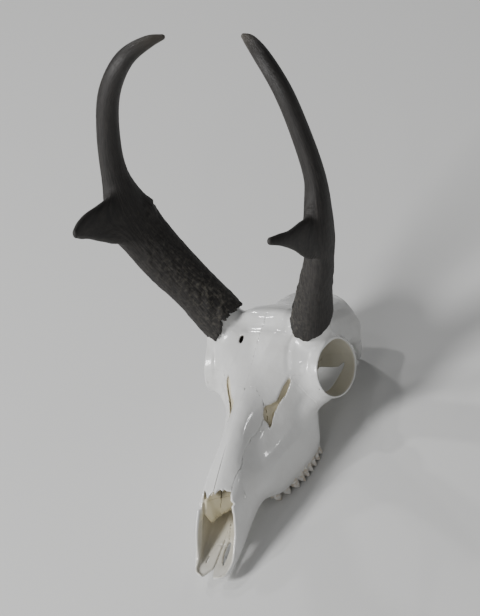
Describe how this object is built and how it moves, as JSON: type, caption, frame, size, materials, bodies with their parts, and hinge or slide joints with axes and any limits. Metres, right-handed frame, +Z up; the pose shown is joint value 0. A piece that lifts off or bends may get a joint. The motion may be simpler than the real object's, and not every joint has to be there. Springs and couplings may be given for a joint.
{
  "type": "pronghorn skull",
  "caption": "Life-size pronghorn buck skull without lower jaw, with slit-fronted face, jutting round eye sockets and tall black horns, each with a forward prong and hooked tip, for display",
  "frame": {"origin": "centre of the bounding box in plan, on the floor the skull rests on", "axes": "+X is the animal's left, -Y is where the nose points, +Z is up; the skull rests on its cheek teeth and jugular processes"},
  "size_m": [0.2106, 0.2846, 0.3659],
  "materials": {
    "bone": "bleached and sealed bone, glossy",
    "horn": "black keratin sheath, fibrous and matt, polished towards the tips"
  },
  "bodies": {
    "root": {"frontal_left": "bone", "frontal_right": "bone", "skull_base": "bone", "braincase": "bone", "occiput": "bone", "premaxilla_left": "bone", "premaxilla_right": "bone", "maxilla_left": "bone", "maxilla_right": "bone", "nasal_left": "bone", "nasal_right": "bone", "cheekbone_left": "bone", "cheekbone_right": "bone", "horn_base_left": "horn", "horn_base_right": "horn", "horn_prong_left": "horn", "horn_prong_right": "horn", "horn_hook_left": "horn", "horn_hook_right": "horn"}
  },
  "joints": []
}
